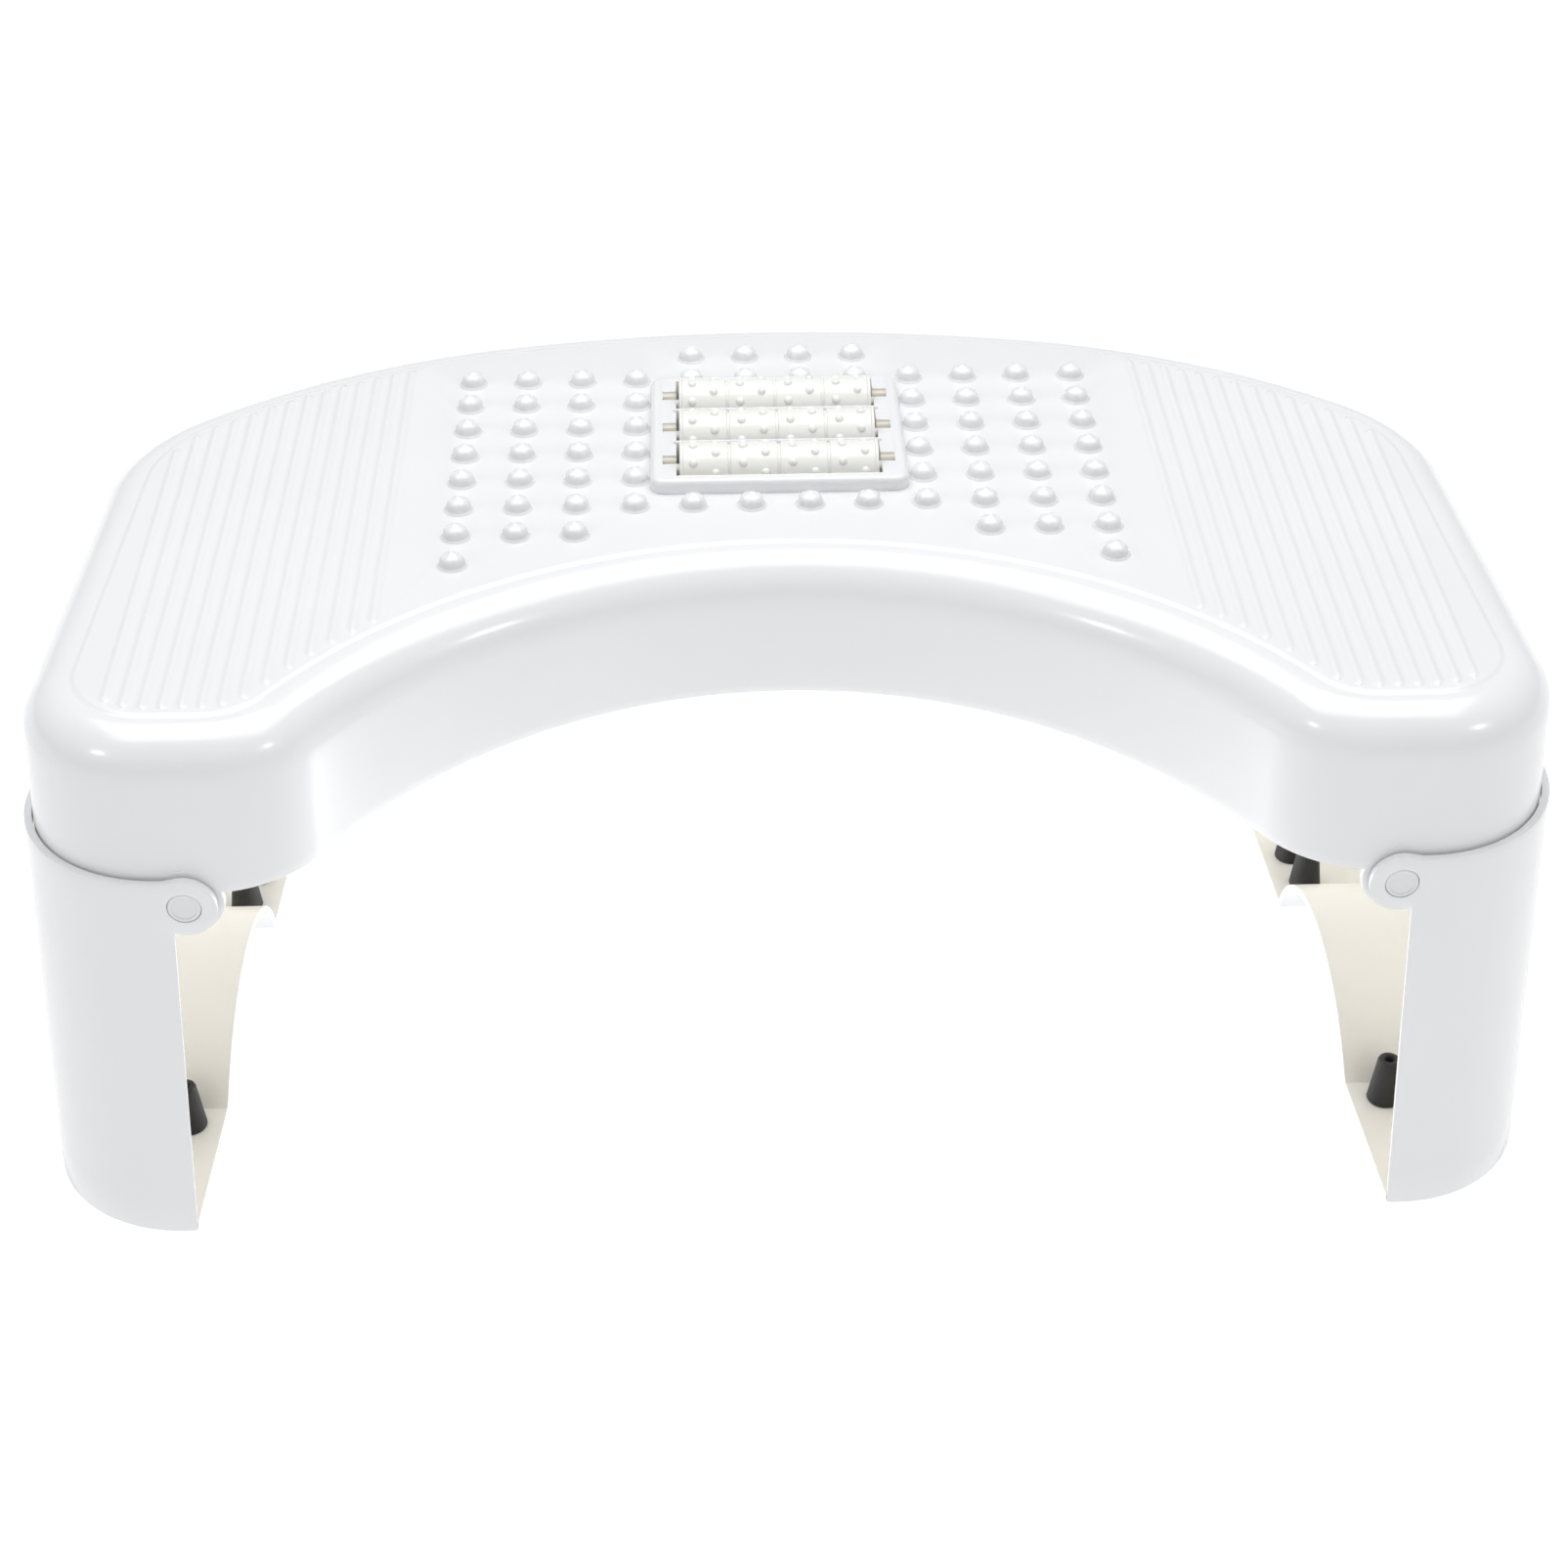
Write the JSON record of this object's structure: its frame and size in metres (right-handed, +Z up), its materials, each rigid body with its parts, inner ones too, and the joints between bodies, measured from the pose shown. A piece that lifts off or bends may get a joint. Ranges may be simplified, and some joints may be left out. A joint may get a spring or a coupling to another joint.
{
  "type": "folding foot stool",
  "caption": "Folding C-shaped foot stool: a raised moulded deck with massage nubs, grip ribs and loose massage rollers, on hinged side legs with rubber feet.",
  "frame": {"origin": "the middle of the floor under the stool, with the feet's pads at z = 0", "axes": "+Z up, +X to the right of somebody in front of the arc, +Y towards the back of the stool"},
  "size_m": [0.4202, 0.244, 0.1703],
  "materials": {
    "shell": "glossy moulded, cool white",
    "roller": "glossy moulded, faintly ivory",
    "axle": "plain moulded rod",
    "pin": "moulded, slightly greyer than the shell",
    "foot": "soft matt black"
  },
  "bodies": {
    "deck": {"deck_shell": "shell", "roller_frame": "shell", "roller_axle_back": "axle", "roller_axle_middle": "axle", "roller_axle_front": "axle", "hinge_pin_front_left": "pin", "hinge_pin_front_right": "pin", "hinge_pin_back_left": "pin", "hinge_pin_back_right": "pin"},
    "leg_left_body": {"leg_left": "shell", "foot_left_front": "foot", "foot_left_middle": "foot", "foot_left_back": "foot"},
    "leg_right_body": {"leg_right": "shell", "foot_right_front": "foot", "foot_right_middle": "foot", "foot_right_back": "foot"},
    "roller_back": {"roller_drum_back": "roller"},
    "roller_middle": {"roller_drum_middle": "roller"},
    "roller_front": {"roller_drum_front": "roller"}
  },
  "joints": [
    {"name": "left_leg_fold", "type": "hinge", "parent": "deck", "child": "leg_left_body", "pos_m": [-0.157, 0, 0.1134], "axis": [0, -1, 0], "range_deg": [0, 90]},
    {"name": "right_leg_fold", "type": "hinge", "parent": "deck", "child": "leg_right_body", "pos_m": [0.157, 0, 0.1134], "axis": [0, 1, 0], "range_deg": [0, 90]},
    {"name": "roller_back_spin", "type": "hinge", "parent": "deck", "child": "roller_back", "pos_m": [0, 0.0584, 0.1615], "axis": [1, 0, 0], "continuous": true},
    {"name": "roller_middle_spin", "type": "hinge", "parent": "deck", "child": "roller_middle", "pos_m": [0, 0.0384, 0.1615], "axis": [1, 0, 0], "continuous": true},
    {"name": "roller_front_spin", "type": "hinge", "parent": "deck", "child": "roller_front", "pos_m": [0, 0.0184, 0.1615], "axis": [1, 0, 0], "continuous": true}
  ]
}
